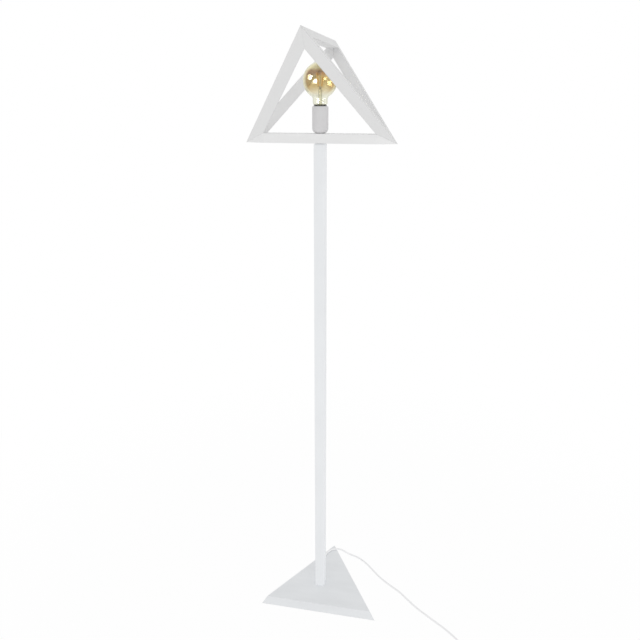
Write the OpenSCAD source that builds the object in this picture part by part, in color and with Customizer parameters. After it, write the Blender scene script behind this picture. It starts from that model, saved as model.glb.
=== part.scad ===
// Wooden floor lamp: a triangular foot, a square post and an open tetrahedral frame round a globe bulb.
// All sizes are in millimetres. The origin is on the floor under the post, +X runs along the frame's
// bottom bar, -Y is the front and +Z is up.

/* [Base] */

// Length of each side of the foot at the floor
base_side = 390; // [340:1:450]
// Height of the foot's top face above the floor
base_thickness = 27; // [22:1:40]
// How far each side face of the foot leans in
base_lean = 10; // [4:1:18]
// How far the foot's middle stands to the right of the post
base_shift = 12; // [0:1:16]
// Thickness of the felt sheet under the foot
felt_thickness = 2; // [1:0.5:4]
// How far the felt stays back from the foot's edge
felt_margin = 8; // [4:1:20]
// Diameter of the steel disc let into the underside
ballast_diameter = 180; // [120:5:200]
// Thickness of the steel disc
ballast_thickness = 6; // [4:0.5:8]

/* [Post] */

// Width of the square post
post_width = 32; // [28:0.5:36]
// Height of the frame's underside above the floor
frame_height = 1536; // [1100:1:1700]
// Round on the post's long edges
post_edge_radius = 2; // [0.5:0.25:4]
// Round on the post's top edges
post_top_radius = 7; // [3:0.5:8]
// Diameter of the wire bore down the post
wire_bore = 10; // [9:0.25:11]
// Height of the cord outlet above the foot
outlet_height = 28; // [26:1:80]

/* [Frame] */

// Length of the bottom bar from tip to tip
bottom_bar_length = 432; // [380:1:480]
// Height of the bottom bar
bottom_bar_height = 26; // [24:0.5:30]
// Length of the top bar from point to point
top_bar_length = 450; // [400:1:480]
// Height of the frame from underside to top edge
frame_rise = 280; // [260:1:320]
// Width of each bar's strip on the front and rear faces
front_strip = 32; // [26:0.5:34]
// Width of each bar's strip on the side faces
side_strip = 28.5; // [26:0.5:34]
// Width of the top bar's strips
top_strip = 29; // [26:0.5:34]

/* [Lamp holder] */

// Outer diameter of the metal cup
cup_diameter = 45; // [42:0.5:52]
// Height of the metal cup
cup_height = 72; // [68:1:90]
// Round at the bottom of the cup
cup_round = 14; // [6:0.5:16]
// Round at the rim of the cup
cup_rim = 2.5; // [1.5:0.5:3]
// Wall of the metal cup
cup_wall = 1; // [0.6:0.1:1.5]
// Diameter of the black collar above the cup
collar_diameter = 36; // [34:0.5:38]
// Height of the black collar above the cup
collar_height = 2.5; // [2:0.5:8]

/* [Bulb] */

// Diameter of the glass globe
globe_diameter = 95; // [80:1:125]
// Height from the bulb's contact to the top of the globe
bulb_length = 140; // [130:1:170]
// Diameter of the glass neck
neck_diameter = 41; // [36:0.5:44]
// Thickness of the glass
glass_wall = 1; // [0.6:0.1:1.5]

/* [Cord] */

// Diameter of the cord
cord_diameter = 6; // [5.5:0.1:6]
// Step from one turn of the coil to the next
coil_step = 8; // [7.6:0.1:9]
// Outer radius of the coil at the middle of the cord
coil_radius = 44; // [42:1:50]

/* [Foot switch] */

// Length of the foot switch
switch_length = 80; // [76:1:90]
// Width of the foot switch
switch_width = 38; // [34:1:44]
// Height of the foot switch without its button
switch_height = 20; // [19:0.5:26]
// Diameter of the push button
button_diameter = 22; // [18:0.5:26]
// How far the button goes down
button_travel = 3; // [2:0.25:4]

/* [Hidden] */

$fn = 64;

// Clearances between the pieces
fit_gap = 0.05;
slide_gap = 0.3;
past = 1;

// Heights that follow from the driving sizes
outlet_z = base_thickness + outlet_height;
bar_top_z = frame_height + bottom_bar_height;
cup_top_z = bar_top_z + cup_height;
collar_top_z = cup_top_z + collar_height;
cap_height = 27;
cap_gap = 1.5;
bulb_tip_z = collar_top_z - cap_gap - cap_height;
globe_radius = globe_diameter / 2;
globe_z = bulb_tip_z + bulb_length - globe_radius;

// Corner distances of the foot's triangle
base_corner = base_side / sqrt(3);
base_top_corner = base_corner - 2 * base_lean;
felt_corner = base_corner - 2 * felt_margin;

// Fastenings of the post
bolt_radius = 4;
bolt_head_radius = 8;
bolt_head_height = 4;
insert_length = 16;
foot_insert_radius = 6;
top_insert_radius = 7;
tube_radius = 5;
tube_bore_radius = 3.6;
tube_above_bar = 12;
dowel_radius = 2.5;
dowel_length = 26;
dowel_offset = 9;

// Outlet of the cord
grommet_flange_radius = 7;
grommet_flange = 2;
cable_bend = 8;
grommet_length = post_width / 2 - cable_bend;

// Planes of the frame: the front and rear faces meet at the tips' level, the side faces in the top edge
face_slope = top_bar_length / 2 / frame_rise;
side_slope = bottom_bar_length / 2 / frame_rise;
bottom_bar_depth = 2 * face_slope * bottom_bar_height;
top_point = [0, -top_bar_length / 2, frame_rise];
left_tip = [-bottom_bar_length / 2, 0, 0];
tip_ease = 0.3;

function unit(v) = v / norm(v);

// Direction of the front left bar and of its two strips, seen from its sharp outer edge
bar_along = unit(top_point - left_tip);
front_normal = unit([0, -1, -face_slope]);
side_normal = unit([-1, 0, side_slope]);
front_in = unit(cross(bar_along, front_normal));
side_in = unit(cross(side_normal, bar_along));
bar_tilt = acos(bar_along.z);
bar_turn = atan2(bar_along.y, bar_along.x);
bar_right = [cos(bar_tilt) * cos(bar_turn), cos(bar_tilt) * sin(bar_turn), -sin(bar_tilt)];
bar_up = [-sin(bar_turn), cos(bar_turn), 0];
bar_run = norm(top_point - left_tip);
bar_overrun = 80;

// Point where a line along the bar reaches a given height
function along_bar(start, z) = start + bar_along * ((z - start.z) / bar_along.z);

// Inner corners of the frame's openings at the front left bar
front_line = left_tip + front_strip * front_in;
side_line = left_tip + side_strip * side_in;
top_strip_z = frame_rise - top_strip / sqrt(1 + side_slope * side_slope);
low_corner = along_bar(front_line, bottom_bar_height);
side_corner = along_bar(side_line, top_strip_z);
inner_normal = unit(cross(bar_along, side_line - front_line));
inner_level = cross(inner_normal, [0, 0, 1]);
peak_corner = side_corner - inner_level * (side_corner.x / inner_level.x);

// Mitre planes of the front left bar, with normals that point out of the bar
top_mitre_normal = let (n = unit(cross(side_corner - top_point, peak_corner - top_point)))
    n * bar_along < 0 ? -n : n;
low_mitre_normal = let (n = unit(cross(low_corner - left_tip, [0, 1, 0])))
    n * bar_along > 0 ? -n : n;

// Dowels of the mitres
peg_radius = 2;
peg_length = 18;
top_peg_point = 0.2 * top_point + 0.45 * side_corner + 0.35 * peak_corner;
low_peg_share = 0.6;
low_peg_y = low_peg_share * low_corner.y / 2;

// Lamp holder
socket_floor_z = bulb_tip_z - 20;
socket_deck = 3;
shell_radius = 14.2;
shell_wall = 0.7;
shell_height = 21;
contact_thickness = 1;
contact_width = 7;
contact_low_z = bulb_tip_z - contact_thickness - 2 - slide_gap;
screw_radius = 2;
screw_spacing = 24;
nut_radius = 8;
nut_height = 4;
washer_radius = 8.4;
washer_height = 1.5;

// Bulb
cap_radius = 13;
cap_wall = 0.6;
cap_shell_height = 22.5;
cap_contact_radius = 4.8;
cap_contact_height = 1.4;
neck_radius = neck_diameter / 2;
neck_round = 6;
neck_fillet = 10;
neck_z = collar_top_z + 0.4;
stem_radius = 5;
stem_flare_radius = 11;
stem_top_z = globe_z - globe_radius * 0.45;
filament_radius = 0.9;
filament_count = 4;
filament_low_z = stem_top_z + 6;
filament_high_z = globe_z + globe_radius * 0.45;
filament_low_ring = 6;
filament_high_ring = 13;
wire_radius = 0.4;

// Foot switch and plug
cord_radius = cord_diameter / 2;
switch_x = 519;
switch_y = -285;
switch_split = 9;
switch_wall = 2;
switch_corner = 9;
cord_entry_z = 6;
cover_wall = 2;
button_lip = 2;
button_lip_height = 1.5;
button_rise = 4;
button_round = 2;
spring_wire = 0.8;
spring_radius = 6;
spring_turns = 5;
spring_rings = 12;
block_height = 5;
block_width = 16;
block_length = 18;
plug_x = 431;
plug_y = -290;
plug_length = 38;
plug_width = 34;
plug_height = 14;
pin_radius = 2;
pin_length = 19;
pin_spacing = 18.6;

// Coil: in on the floor, up a layer in half a turn, and out again on top
coil_centre = [475, -385];
coil_turns = 2.5;
coil_rings = 24;
coil_sides = 6;
coil_lift = 7;
cord_sides = 8;

// Route of the cord from the post to the switch, as points chosen by hand
lamp_route = [
    [0, 18, 55], [0, 32, 55], [-1.5, 46, 52], [-4, 60, 45], [-6.5, 75, 37], [-9, 91, 31.9], [-11, 110, 30.3],
    [-11.5, 132, 30.3], [-8, 153, 30.3], [2, 170, 30.3], [16, 180, 30.3], [31, 185.5, 29.6], [44, 188.6, 24.8],
    [56, 191, 16.4], [69, 192.6, 8.4], [85, 191.8, 4], [104, 186, 3], [125, 173, 3], [150, 150.5, 3],
    [176, 121.5, 3], [205, 91, 3], [240, 62.5, 3], [276, 36, 3], [308, 4, 3], [345, -31, 3], [392, -67.5, 3],
    [440, -104, 3], [482, -145, 3], [507, -186, 3], [517, -214, 3.8], [519, -232, 5.8], [519, -245, 6]
];
lead_route = [[519, -325, 6], [519, -338, 6], [519, -358, 3.3], [519, -377, 3]];
tail_route = [[431, -377, 10], [431, -352, 9.6], [431, -318, 7], [431, -290, 7]];
route_steps = 3;

// Colours of the preview
white_paint = [0.9, 0.92, 0.92];
steel = [0.62, 0.63, 0.65];
brass = [0.8, 0.66, 0.36];

// The half of space that starts at a point and lies along a direction
module half_space(point, direction, size = 900) {
    d = unit(direction);
    translate(point) rotate([0, acos(d.z), atan2(d.y, d.x)])
        translate([-size / 2, -size / 2, 0]) cube(size);
}

// A triangle that points to the rear, by the distance of its corners from the middle
module foot_triangle(corner) {
    polygon([for (a = [90, 210, 330]) corner * [cos(a), sin(a)]]);
}

module rounded_square(width, depth, radius) {
    square([width - 2 * radius, depth], center = true);
    square([width, depth - 2 * radius], center = true);
    for (x = [-1, 1], y = [-1, 1])
        translate([x * (width / 2 - radius), y * (depth / 2 - radius)]) circle(radius);
}

// A block with rounded upright edges, standing at a height
module rounded_block(width, depth, height, radius, z) {
    translate([0, 0, z]) linear_extrude(height) rounded_square(width, depth, radius);
}

module tube(outer, inner, height, z) {
    translate([0, 0, z]) difference() {
        cylinder(h = height, r = outer);
        translate([0, 0, -past]) cylinder(h = height + 2 * past, r = inner);
    }
}

// One ring of a swept tube, level with the floor across its travel
function tube_ring(point, travel, radius, sides) =
    let (across = unit(cross(travel, [0, 0, 1])), up = cross(across, travel))
    [for (i = [0 : sides - 1]) let (a = 360 * (i + 0.5) / sides)
        point + radius * (cos(a) * across + sin(a) * up)];

// Travel direction at a point of a route, square to both ends
function travel_at(route, i) =
    let (last = len(route) - 1)
    unit(route[min(i + 1, last)] - route[max(i - 1, 0)]);

// The smooth line through a route's points, in steps between them, no lower than the cord on the floor
function route_point(route, i) =
    let (last = len(route) - 1)
    i < 0 ? 2 * route[0] - route[1] : i > last ? 2 * route[last] - route[last - 1] : route[i];
function curve_point(route, i, t) =
    let (a = route_point(route, i - 1), b = route[i], c = route[i + 1], d = route_point(route, i + 2),
        p = b + ((c - a) * t + (2 * a - 5 * b + 4 * c - d) * t * t + (3 * b - a - 3 * c + d) * t * t * t) / 2)
    [p.x, p.y, max(p.z, cord_radius)];
function smooth_route(route) = [
    for (i = [0 : len(route) - 2], k = [0 : route_steps - 1]) curve_point(route, i, k / route_steps),
    route[len(route) - 1]
];

// A tube swept along a route of points
module swept_tube(route, radius, sides) {
    rings = [for (i = [0 : len(route) - 1]) each tube_ring(route[i], travel_at(route, i), radius, sides)];
    last = (len(route) - 1) * sides;
    walls = [for (i = [0 : len(route) - 2], j = [0 : sides - 1])
        let (a = i * sides + j, b = i * sides + (j + 1) % sides)
        each [[a, b, b + sides], [a, b + sides, a + sides]]];
    start_cap = [for (j = [1 : sides - 2]) [0, j + 1, j]];
    end_cap = [for (j = [1 : sides - 2]) [last, last + j, last + j + 1]];
    polyhedron(points = rings, faces = concat(walls, start_cap, end_cap));
}

// Foot

module base_felt() {
    color([0.25, 0.25, 0.26]) translate([base_shift, 0, 0])
        linear_extrude(felt_thickness) foot_triangle(felt_corner);
}

module ballast_disc() {
    color(steel) translate([0, 0, felt_thickness]) difference() {
        cylinder(h = ballast_thickness, d = ballast_diameter);
        translate([0, 0, -past]) cylinder(h = ballast_thickness + 2 * past, r = bolt_radius + slide_gap);
        bolt_sink();
    }
}

// The cone that the bolt's head sits in
module bolt_sink() {
    cylinder(h = bolt_head_height, r1 = bolt_head_radius, r2 = bolt_radius);
}

module base_block() {
    lean_height = base_thickness - felt_thickness;
    inner_radius = base_corner / 2;
    color(white_paint) difference() {
        translate([base_shift, 0, felt_thickness]) linear_extrude(lean_height) foot_triangle(base_corner);
        translate([base_shift, 0, 0]) for (a = [30, 150, 270])
            rotate([0, 0, a]) half_space([inner_radius, 0, felt_thickness], [lean_height, 0, base_lean]);
        translate([0, 0, felt_thickness - past])
            cylinder(h = ballast_thickness + past, d = ballast_diameter + 2 * fit_gap);
        translate([0, 0, felt_thickness]) cylinder(h = base_thickness, r = bolt_radius + slide_gap);
        dowel_holes(base_thickness);
    }
}

module post_bolt() {
    color(steel) translate([0, 0, felt_thickness]) {
        bolt_sink();
        cylinder(h = base_thickness - felt_thickness + insert_length - 1, r = bolt_radius - fit_gap);
    }
}

module foot_insert() {
    color(brass) tube(foot_insert_radius, bolt_radius, insert_length, base_thickness);
}

// Post

// Two dowels across a joint of the post at a height
module dowel_pair(z, radius, length) {
    for (s = [-1, 1])
        translate([s * dowel_offset, s * dowel_offset, z - length / 2]) cylinder(h = length, r = radius);
}

module dowel_holes(z) {
    dowel_pair(z, dowel_radius + fit_gap, dowel_length + 1);
}

module post_dowels() {
    color([0.8, 0.7, 0.5]) for (z = [base_thickness, frame_height]) dowel_pair(z, dowel_radius, dowel_length);
}

// Upright outline of the post with rounded top corners, as a slab
module post_slab() {
    height = frame_height - base_thickness;
    rotate([90, 0, 0]) translate([0, base_thickness, -post_width]) linear_extrude(2 * post_width) {
        translate([-post_width / 2, 0]) square([post_width, height - post_top_radius]);
        translate([post_top_radius - post_width / 2, 0]) square([post_width - 2 * post_top_radius, height]);
        for (s = [-1, 1])
            translate([s * (post_width / 2 - post_top_radius), height - post_top_radius]) circle(post_top_radius);
    }
}

module post() {
    color(white_paint) difference() {
        intersection() {
            rounded_block(post_width, post_width, frame_height, post_edge_radius, base_thickness);
            post_slab();
            rotate([0, 0, 90]) post_slab();
        }
        translate([0, 0, outlet_z]) cylinder(h = frame_height, d = wire_bore);
        translate([0, 0, outlet_z]) rotate([-90, 0, 0]) cylinder(h = post_width, d = wire_bore);
        translate([0, 0, outlet_z]) sphere(d = wire_bore);
        translate([0, 0, base_thickness - past])
            cylinder(h = insert_length + past, r = foot_insert_radius + fit_gap);
        translate([0, 0, frame_height - insert_length])
            cylinder(h = insert_length + past, r = top_insert_radius + fit_gap);
        dowel_holes(base_thickness);
        dowel_holes(frame_height);
    }
}

module cord_grommet() {
    color([0.93, 0.93, 0.92]) translate([0, post_width / 2, outlet_z]) rotate([-90, 0, 0]) difference() {
        union() {
            cylinder(h = grommet_flange, r = grommet_flange_radius);
            translate([0, 0, -grommet_length]) cylinder(h = grommet_length, r = wire_bore / 2 - fit_gap);
        }
        translate([0, 0, -grommet_length - past])
            cylinder(h = grommet_length + grommet_flange + 2 * past, r = cord_radius + fit_gap);
    }
}

// The cable inside the post, from the socket down to the outlet
module inner_cable() {
    rise_z = outlet_z + cable_bend;
    color([0.93, 0.93, 0.92]) {
        translate([0, 0, rise_z]) cylinder(h = socket_floor_z - rise_z, r = cord_radius);
        translate([0, cable_bend, rise_z]) rotate([0, 90, 0])
            rotate([0, 0, -90]) rotate_extrude(angle = 90) translate([cable_bend, 0]) circle(cord_radius);
        translate([0, cable_bend, outlet_z]) rotate([-90, 0, 0])
            cylinder(h = post_width / 2 + grommet_flange - cable_bend, r = cord_radius);
    }
}

module top_insert() {
    color(brass) tube(top_insert_radius, tube_radius + fit_gap, insert_length, frame_height - insert_length);
}

module threaded_tube() {
    low_z = frame_height - insert_length;
    color(brass) tube(tube_radius, tube_bore_radius, bar_top_z + tube_above_bar - low_z, low_z);
}

// Frame

module bottom_bar() {
    color(white_paint) translate([0, 0, frame_height]) difference() {
        difference() {
            translate([0, bottom_bar_depth / 2, 0]) rotate([90, 0, 0]) linear_extrude(bottom_bar_depth)
                polygon([
                    [left_tip.x, 0], [-left_tip.x, 0],
                    [-low_corner.x, bottom_bar_height], [low_corner.x, bottom_bar_height]
                ]);
            four_ways() half_space([left_tip.x, -tip_ease, 0], [low_corner.y, left_tip.x - low_corner.x, 0]);
        }
        translate([0, 0, -past]) cylinder(h = bottom_bar_height + 2 * past, r = tube_radius + fit_gap);
        translate([0, 0, -frame_height]) dowel_holes(frame_height);
        four_ways() low_peg(fit_gap);
    }
}

// The same piece at the four side bars
module four_ways() {
    for (x = [0, 1], y = [0, 1]) mirror([x, 0, 0]) mirror([0, y, 0]) children();
}

module peg(point, direction, gap) {
    d = unit(direction);
    translate(point) rotate([0, acos(d.z), atan2(d.y, d.x)])
        translate([0, 0, -peg_length / 2]) cylinder(h = peg_length, r = peg_radius + gap);
}

module low_peg(gap) {
    point = left_tip + (low_corner - left_tip) * low_peg_share;
    peg([point.x, low_peg_y, point.z], low_mitre_normal, gap);
}

module top_peg(gap) {
    peg(top_peg_point, top_mitre_normal, gap);
}

module frame_dowels() {
    color([0.8, 0.7, 0.5]) translate([0, 0, frame_height]) four_ways() {
        low_peg(0);
        top_peg(0);
    }
}

// The front left bar: a three-sided rail with a sharp outer edge, mitred at both ends
module side_bar() {
    difference() {
        difference() {
            translate(left_tip) rotate([0, bar_tilt, bar_turn]) translate([0, 0, -bar_overrun])
                linear_extrude(bar_run + 2 * bar_overrun) polygon([
                    [0, 0],
                    front_strip * [front_in * bar_right, front_in * bar_up],
                    side_strip * [side_in * bar_right, side_in * bar_up]
                ]);
            half_space([0, 0, 0], [1, 0, 0]);
            half_space([0, 0, 0], [0, 1, 0]);
            half_space(left_tip, low_mitre_normal);
            half_space(top_point, top_mitre_normal);
        }
        low_peg(fit_gap);
        top_peg(fit_gap);
    }
}

module front_left_bar() {
    color(white_paint) translate([0, 0, frame_height]) side_bar();
}

module front_right_bar() {
    color(white_paint) translate([0, 0, frame_height]) mirror([1, 0, 0]) side_bar();
}

module rear_left_bar() {
    color(white_paint) translate([0, 0, frame_height]) mirror([0, 1, 0]) side_bar();
}

module rear_right_bar() {
    color(white_paint) translate([0, 0, frame_height]) mirror([1, 0, 0]) mirror([0, 1, 0]) side_bar();
}

module top_bar() {
    half_width = side_slope * (frame_rise - top_strip_z);
    run = top_bar_length - 2 * tip_ease;
    color(white_paint) translate([0, 0, frame_height]) difference() {
        difference() {
            translate([0, run / 2, 0]) rotate([90, 0, 0]) linear_extrude(run)
                polygon([[0, frame_rise], [half_width, top_strip_z], [-half_width, top_strip_z]]);
            four_ways() half_space(top_point, -top_mitre_normal);
        }
        four_ways() top_peg(fit_gap);
    }
}

// Lamp holder

// Half outline with its round at the bottom, filled to the axis
module low_round_outline(radius, height, round) {
    intersection() {
        square([radius, height]);
        union() {
            square([radius - round, height]);
            translate([0, round]) square([radius, height - round]);
            translate([radius - round, round]) circle(round);
        }
    }
}

// Half outline with its round at the top
module high_round_outline(radius, height, round) {
    translate([0, height]) mirror([0, 1]) low_round_outline(radius, height, round);
}

// Half outline of the cup's outside, or of its inside when the wall is taken off
module cup_outline(wall) {
    radius = cup_diameter / 2 - wall;
    height = cup_height - 2 * wall;
    translate([0, wall]) intersection() {
        low_round_outline(radius, height, cup_round - wall);
        high_round_outline(radius, height, cup_rim - wall);
    }
}

module socket_cup() {
    color([0.82, 0.81, 0.82]) translate([0, 0, bar_top_z]) rotate_extrude() difference() {
        cup_outline(0);
        cup_outline(cup_wall);
        square([tube_radius + fit_gap, cup_height]);
        translate([0, cup_height / 2]) square([cup_diameter / 2 - cup_rim, cup_height]);
    }
}

module cup_washer() {
    color(steel) tube(washer_radius, tube_radius + fit_gap, washer_height, bar_top_z + cup_wall);
}

module cup_nut() {
    color(brass) translate([0, 0, bar_top_z + cup_wall + washer_height]) difference() {
        cylinder(h = nut_height, r = nut_radius, $fn = 6);
        translate([0, 0, -past]) cylinder(h = nut_height + 2 * past, r = tube_radius + fit_gap);
    }
}

// The black insert: a deck for the terminals, a well for the shell and a collar above the cup
module socket_body() {
    well_radius = shell_radius + fit_gap;
    well_floor = contact_low_z;
    flange_radius = cup_diameter / 2 - cup_rim - fit_gap;
    color([0.06, 0.06, 0.06]) difference() {
        union() {
            tube(collar_diameter / 2, 1, collar_top_z - socket_floor_z, socket_floor_z);
            tube(flange_radius, 1, socket_deck, cup_top_z - socket_deck);
            tube(flange_radius, 1, socket_deck, socket_floor_z + 2);
        }
        translate([0, 0, well_floor]) cylinder(h = cup_height, r = well_radius);
        translate([0, 0, socket_floor_z - past]) cylinder(h = 4, r = cord_radius + slide_gap);
        for (s = [-1, 1])
            translate([s * screw_spacing / 2, 0, socket_floor_z - past])
                cylinder(h = 8, r = screw_radius + fit_gap);
    }
}

module screw_shell() {
    color(brass) tube(shell_radius, shell_radius - shell_wall, shell_height, bulb_tip_z + 2);
}

// The sprung tongue under the bulb's contact
module centre_contact() {
    color(brass) translate([0, contact_width / 2, contact_low_z]) rotate([90, 0, 0]) linear_extrude(contact_width)
        polygon([
            [-12, 0], [-4, 2], [4, 2], [4, 3], [-4.3, 3], [-12, 1]
        ]);
}

module terminal_screws() {
    color(steel) for (s = [-1, 1]) translate([s * screw_spacing / 2, 0, socket_floor_z]) {
        cylinder(h = 6, r = screw_radius);
        translate([0, 0, -2]) cylinder(h = 2, r = 1.6 * screw_radius);
    }
}

// Bulb

module bulb_contact() {
    color(steel) translate([0, 0, bulb_tip_z]) cylinder(h = cap_contact_height, r = cap_contact_radius);
}

module bulb_insulator() {
    base_z = bulb_tip_z + cap_contact_height;
    color([0.05, 0.05, 0.06]) translate([0, 0, base_z])
        cylinder(h = cap_height - cap_shell_height - cap_contact_height,
            r1 = cap_contact_radius + 1, r2 = cap_radius - cap_wall);
}

module bulb_cap() {
    shell_z = bulb_tip_z + cap_height - cap_shell_height;
    color(steel) tube(cap_radius, cap_radius - cap_wall, cap_shell_height, shell_z);
}

// Half outline of the globe and its neck, filled to the axis
module globe_outline(globe, neck, fillet, round, low_z) {
    fillet_z = globe_z - sqrt(pow(globe + fillet, 2) - pow(neck + fillet, 2));
    intersection() {
        translate([0, globe_z]) circle(globe);
        translate([0, globe_z - globe]) square([globe, 2 * globe]);
    }
    difference() {
        polygon([[0, fillet_z], [neck + fillet, fillet_z], [0, globe_z]]);
        translate([neck + fillet, fillet_z]) circle(fillet);
    }
    translate([0, low_z + round]) square([neck, fillet_z - low_z - round + 1]);
    translate([0, low_z]) square([neck - round, round]);
    translate([neck - round, low_z + round]) circle(round);
}

module bulb_glass() {
    foot_radius = cap_radius - cap_wall - fit_gap;
    foot_z = bulb_tip_z + cap_height - cap_shell_height;
    color([0.85, 0.6, 0.2, 0.5]) rotate_extrude() difference() {
        union() {
            globe_outline(globe_radius, neck_radius, neck_fillet, neck_round, neck_z);
            translate([0, foot_z]) square([foot_radius, neck_z - foot_z + neck_round]);
        }
        globe_outline(globe_radius - glass_wall, neck_radius - glass_wall, neck_fillet + glass_wall,
            neck_round - glass_wall, neck_z + glass_wall);
        translate([0, foot_z - past])
            square([foot_radius - glass_wall, neck_z - foot_z + neck_round + past]);
    }
}

// The glass stem that carries the filaments, flared where it is sealed to the neck
module bulb_stem() {
    flare_z = bulb_tip_z + cap_height - cap_shell_height;
    color([0.9, 0.9, 0.88, 0.6]) translate([0, 0, flare_z]) {
        cylinder(h = 3, r = stem_flare_radius);
        translate([0, 0, 3]) cylinder(h = 18, r1 = stem_flare_radius, r2 = stem_radius);
        translate([0, 0, 21]) cylinder(h = stem_top_z - flare_z - 21, r = stem_radius);
    }
}

// A round bar between two points
module bar_between(a, b, radius) {
    d = b - a;
    translate(a) rotate([0, acos(d.z / norm(d)), atan2(d.y, d.x)]) cylinder(h = norm(d), r = radius);
}

function filament_end(i, ring, z) = let (a = 360 * (i + 0.5) / filament_count) [ring * cos(a), ring * sin(a), z];

module bulb_filaments() {
    color([0.95, 0.75, 0.3]) for (i = [0 : filament_count - 1])
        bar_between(filament_end(i, filament_low_ring, filament_low_z),
            filament_end(i, filament_high_ring, filament_high_z), filament_radius);
}

module bulb_wires() {
    color(steel) {
        for (i = [0 : filament_count - 1])
            bar_between([0, 0, stem_top_z - 1], filament_end(i, filament_low_ring, filament_low_z), wire_radius);
        for (i = [0 : filament_count - 1])
            bar_between([0, 0, filament_high_z], filament_end(i, filament_high_ring, filament_high_z), wire_radius);
        translate([0, 0, stem_top_z - 1])
            cylinder(h = filament_high_z - stem_top_z + 1 + wire_radius, r = wire_radius);
    }
}

// Cord

module cord_lamp() {
    color([0.95, 0.95, 0.94]) swept_tube(smooth_route(lamp_route), cord_radius, cord_sides);
}

module cord_lead() {
    color([0.95, 0.95, 0.94]) swept_tube(smooth_route(lead_route), cord_radius, cord_sides);
}

module cord_tail() {
    color([0.95, 0.95, 0.94]) swept_tube(smooth_route(tail_route), cord_radius, cord_sides);
}

// The coil's path: turns counts how many times it has gone round, clockwise from above
coil_inner = coil_radius - coil_step * coil_turns;
coil_total = 2 * coil_turns + 0.5;
function ease(t) = t * t * (3 - 2 * t);
function coil_reach(turns) =
    turns < coil_turns ? coil_radius - coil_step * turns
    : turns < coil_turns + 0.5 ? coil_inner
    : coil_inner + coil_step * (turns - coil_turns - 0.5);
function coil_level(turns) =
    cord_radius + coil_lift * ease(min(max((turns - coil_turns) / 0.5, 0), 1));
function coil_point(turns) = [
    coil_centre.x + coil_reach(turns) * cos(360 * turns),
    coil_centre.y - coil_reach(turns) * sin(360 * turns),
    coil_level(turns)
];
coil_steps = coil_total * coil_rings;
coil_body = [for (i = [0 : coil_steps]) coil_point(i / coil_rings)];
coil_lead = 8;
coil_path = concat(
    [coil_body[0] + [0, coil_lead, 0]],
    coil_body,
    [coil_body[len(coil_body) - 1] + [0, coil_lead, 0]]
);
half_loop = coil_rings / 2;
coil_gap = min([for (i = [0 : len(coil_path) - 1 - half_loop], j = [i + half_loop : len(coil_path) - 1])
    norm(coil_path[i] - coil_path[j])]) - cord_diameter;
echo(least_gap_of_the_coil_to_itself = coil_gap);

module cord_coil() {
    color([0.95, 0.95, 0.94]) swept_tube(coil_path, cord_radius, coil_sides);
}

// Plug

module plug_body() {
    color([0.95, 0.95, 0.94]) translate([plug_x, plug_y, 0]) difference() {
        translate([0, plug_length, plug_height / 2]) rotate([90, 0, 0]) linear_extrude(plug_length)
            rounded_square(plug_width, plug_height, plug_height / 2 - 0.5);
        for (s = [-1, 1])
            half_space([s * (pin_radius + 6), 0, 0], [s * 30, -14, 0], 120);
        for (s = [-1, 1])
            translate([s * pin_spacing / 2, plug_length - 8, plug_height / 2]) rotate([-90, 0, 0])
                cylinder(h = 10, r = pin_radius + fit_gap);
    }
}

module plug_pins() {
    color(brass) for (s = [-1, 1])
        translate([plug_x + s * pin_spacing / 2, plug_y + plug_length - 8, plug_height / 2]) rotate([-90, 0, 0]) {
            cylinder(h = 8 + pin_length - pin_radius, r = pin_radius);
            translate([0, 0, 8 + pin_length - pin_radius]) sphere(pin_radius);
        }
}

// Foot switch

module in_switch() {
    translate([switch_x, switch_y, 0]) children();
}

// Passages for the cord through both ends of the housing
module cord_passages() {
    for (s = [-1, 1])
        translate([0, s * switch_length / 2, cord_entry_z]) rotate([90, 0, 0])
            translate([0, 0, -switch_wall - 3]) cylinder(h = 2 * switch_wall + 6, r = cord_radius - 1);
}

module screw_holes(z, height, radius) {
    for (s = [-1, 1])
        translate([0, s * (switch_length / 2 - 11), z]) cylinder(h = height, r = radius);
}

module switch_base() {
    color([0.95, 0.95, 0.94]) in_switch() difference() {
        union() {
            difference() {
                rounded_block(switch_width, switch_length, switch_split, switch_corner, 0);
                rounded_block(switch_width - 2 * switch_wall, switch_length - 2 * switch_wall,
                    switch_split, switch_corner - switch_wall, switch_wall);
            }
            screw_holes(0, switch_split, 4);
        }
        screw_holes(-past, switch_split + 2 * past, 1.7);
        cord_passages();
    }
}

module switch_cover() {
    cover_height = switch_height - switch_split;
    color([0.95, 0.95, 0.94]) in_switch() difference() {
        union() {
            difference() {
                rounded_block(switch_width, switch_length, cover_height, switch_corner, switch_split);
                rounded_block(switch_width - 2 * switch_wall, switch_length - 2 * switch_wall,
                    cover_height - cover_wall, switch_corner - switch_wall, switch_split);
            }
            screw_holes(switch_split, cover_height, 4);
        }
        screw_holes(switch_split - past, cover_height - cover_wall, 1.5);
        translate([0, 0, switch_split]) cylinder(h = switch_height, d = button_diameter + 2 * slide_gap);
    }
}

// The push button, held under the cover by its lip
module switch_button() {
    lip_z = switch_height - cover_wall - slide_gap - button_lip_height;
    well_z = switch_height - 4;
    color([0.88, 0.88, 0.87]) in_switch() difference() {
        union() {
            translate([0, 0, lip_z]) cylinder(h = button_lip_height, d = button_diameter + 2 * button_lip);
            translate([0, 0, lip_z]) rotate_extrude()
                high_round_outline(button_diameter / 2, switch_height + button_rise - lip_z, button_round);
        }
        translate([0, 0, lip_z - past]) cylinder(h = well_z - lip_z + past + 2, r = spring_radius + 1.5);
    }
}

module switch_block() {
    color([0.2, 0.2, 0.22]) in_switch() {
        rounded_block(block_width, block_length, block_height, 2, switch_wall);
        translate([0, 0, switch_wall + block_height]) cylinder(h = 2, r = spring_radius - 2);
    }
}

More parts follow.
